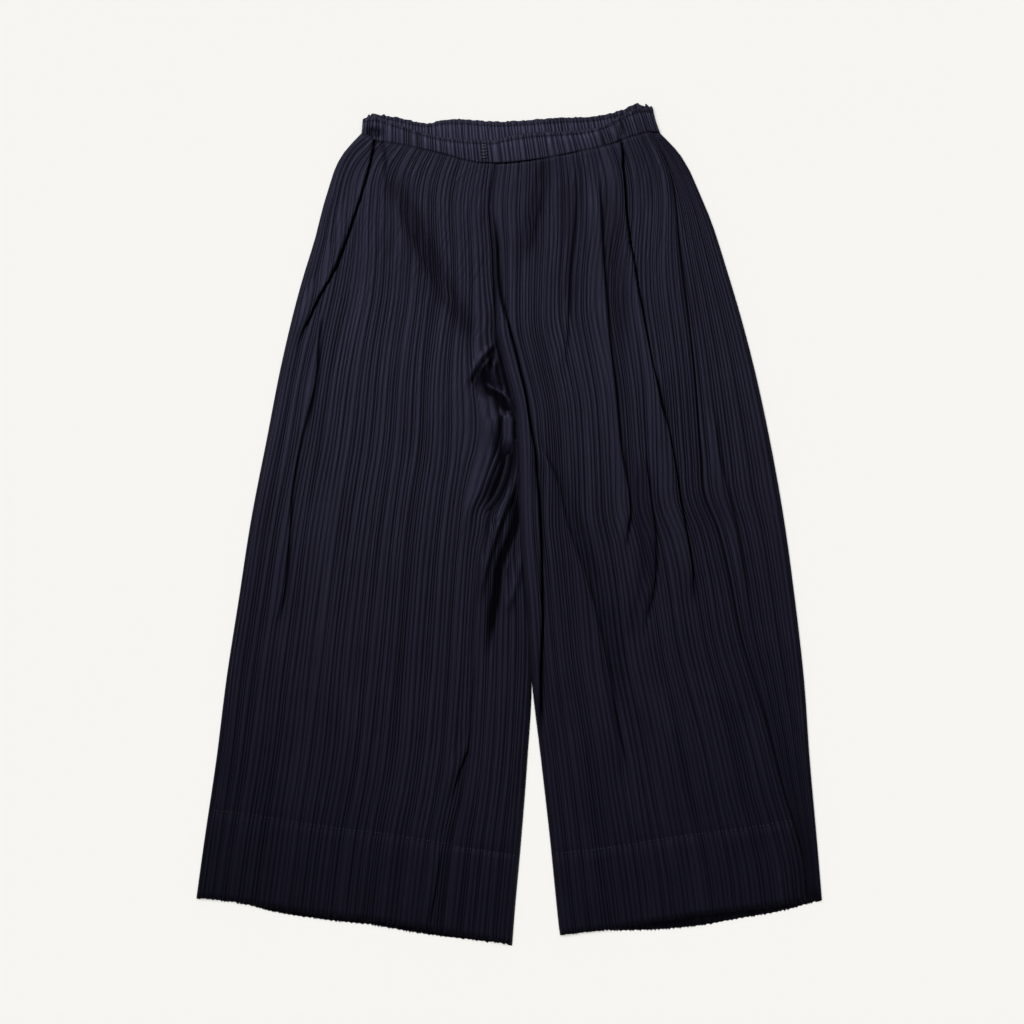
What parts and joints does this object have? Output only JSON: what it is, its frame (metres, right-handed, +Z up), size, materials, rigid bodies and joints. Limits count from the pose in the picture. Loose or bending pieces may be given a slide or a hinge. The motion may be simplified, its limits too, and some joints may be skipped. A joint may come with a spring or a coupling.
{
  "type": "pleated hakama-style trousers",
  "caption": "Wide-leg pull-on trousers in fine crystal pleats with an elastic waist, laid flat front side up.",
  "frame": {"origin": "centre of the flat underside's bounding box, on the surface that the garment lies on", "axes": "+X to the wearer's left leg, +Y to the waist, +Z up out of the surface, towards the front of the garment"},
  "size_m": [0.657, 0.883, 0.0106],
  "materials": {
    "leg_front": "matt pleated polyester with a faint sheen, ink navy",
    "leg_back": "matt pleated polyester with a faint sheen, ink navy",
    "waistband": "matt gathered polyester over elastic, ink navy"
  },
  "bodies": {
    "root": {"right_front": "leg_front", "left_front": "leg_front", "right_back": "leg_back", "left_back": "leg_back", "waistband_front": "waistband", "waistband_back": "waistband"}
  },
  "joints": []
}
